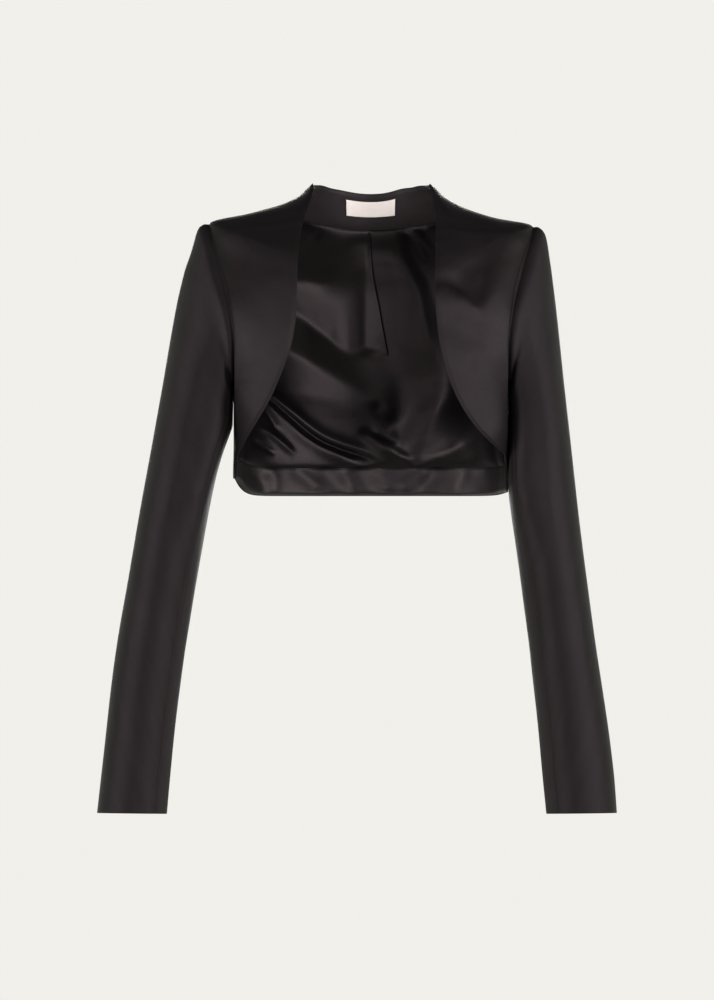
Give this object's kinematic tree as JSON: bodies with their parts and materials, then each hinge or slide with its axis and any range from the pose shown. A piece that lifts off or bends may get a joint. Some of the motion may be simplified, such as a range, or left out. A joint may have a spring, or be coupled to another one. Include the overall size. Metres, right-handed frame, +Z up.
{
  "type": "cropped bolero jacket",
  "caption": "Cropped open-front bolero jacket in black satin with long set-in sleeves, a standing neck and a lined back, hollow as worn with no wearer in it.",
  "frame": {"origin": "middle of the neck base, level with the shoulder line where it meets the standing neck; the wearer's shoulders hold the jacket here", "axes": "+Z up, the wearer faces -Y, +X is the wearer's left"},
  "size_m": [0.5597, 0.2045, 0.691],
  "materials": {
    "satin_black": "heavy satin with a soft sheen",
    "lining_black": "light satin lining with a brighter sheen",
    "label_ivory": "woven label, blank"
  },
  "bodies": {
    "root": {"back": "satin_black", "front_right": "satin_black", "front_left": "satin_black", "top_sleeve_right": "satin_black", "under_sleeve_right": "satin_black", "top_sleeve_left": "satin_black", "under_sleeve_left": "satin_black", "neck_facing": "satin_black", "back_lining": "lining_black", "hem_facing": "satin_black", "label": "label_ivory"}
  },
  "joints": []
}
